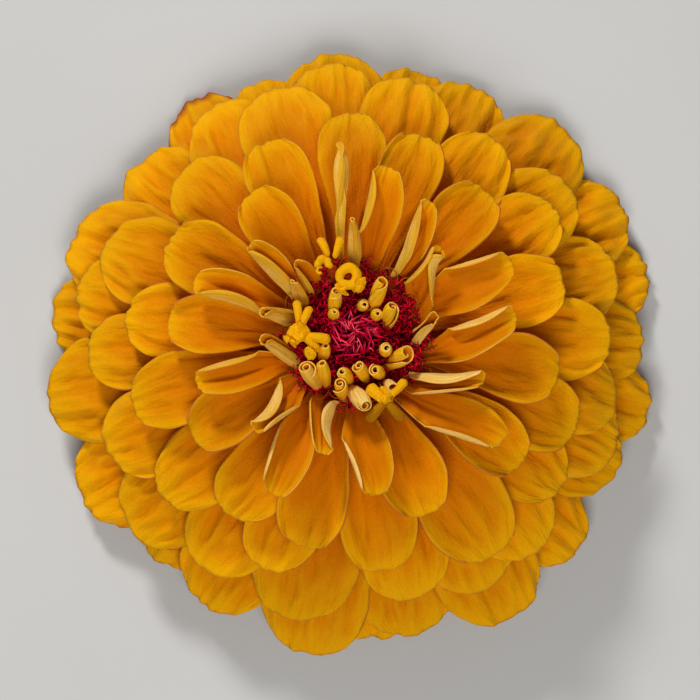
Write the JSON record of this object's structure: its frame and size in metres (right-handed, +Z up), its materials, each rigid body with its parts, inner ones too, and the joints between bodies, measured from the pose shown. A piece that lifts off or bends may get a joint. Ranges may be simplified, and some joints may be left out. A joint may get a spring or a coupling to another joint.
{
  "type": "zinnia flower head",
  "caption": "Golden double zinnia head, picked and resting face up: layered ray petals round a crimson disc, on a green involucre and the cut stub of its stalk.",
  "frame": {"origin": "middle of the stalk stub's flat cut end, on the flower's axis", "axes": "+Z up along the flower's axis, out of its face; +X to the right and +Y to the top of the picture"},
  "size_m": [0.1014, 0.1008, 0.0365],
  "materials": {
    "petal": "velvety golden petal tissue, deeper orange at the base, cream on the backs of the young rays",
    "disc_bract": "bristly crimson bracts, paler magenta towards the middle",
    "involucre": "matt green bracts with a thin dark fringe",
    "stalk": "matt, ribbed and downy green"
  },
  "bodies": {
    "root": {"ray_petals": "petal", "disc_bracts": "disc_bract", "involucre": "involucre", "stem_stub": "stalk"}
  },
  "joints": []
}
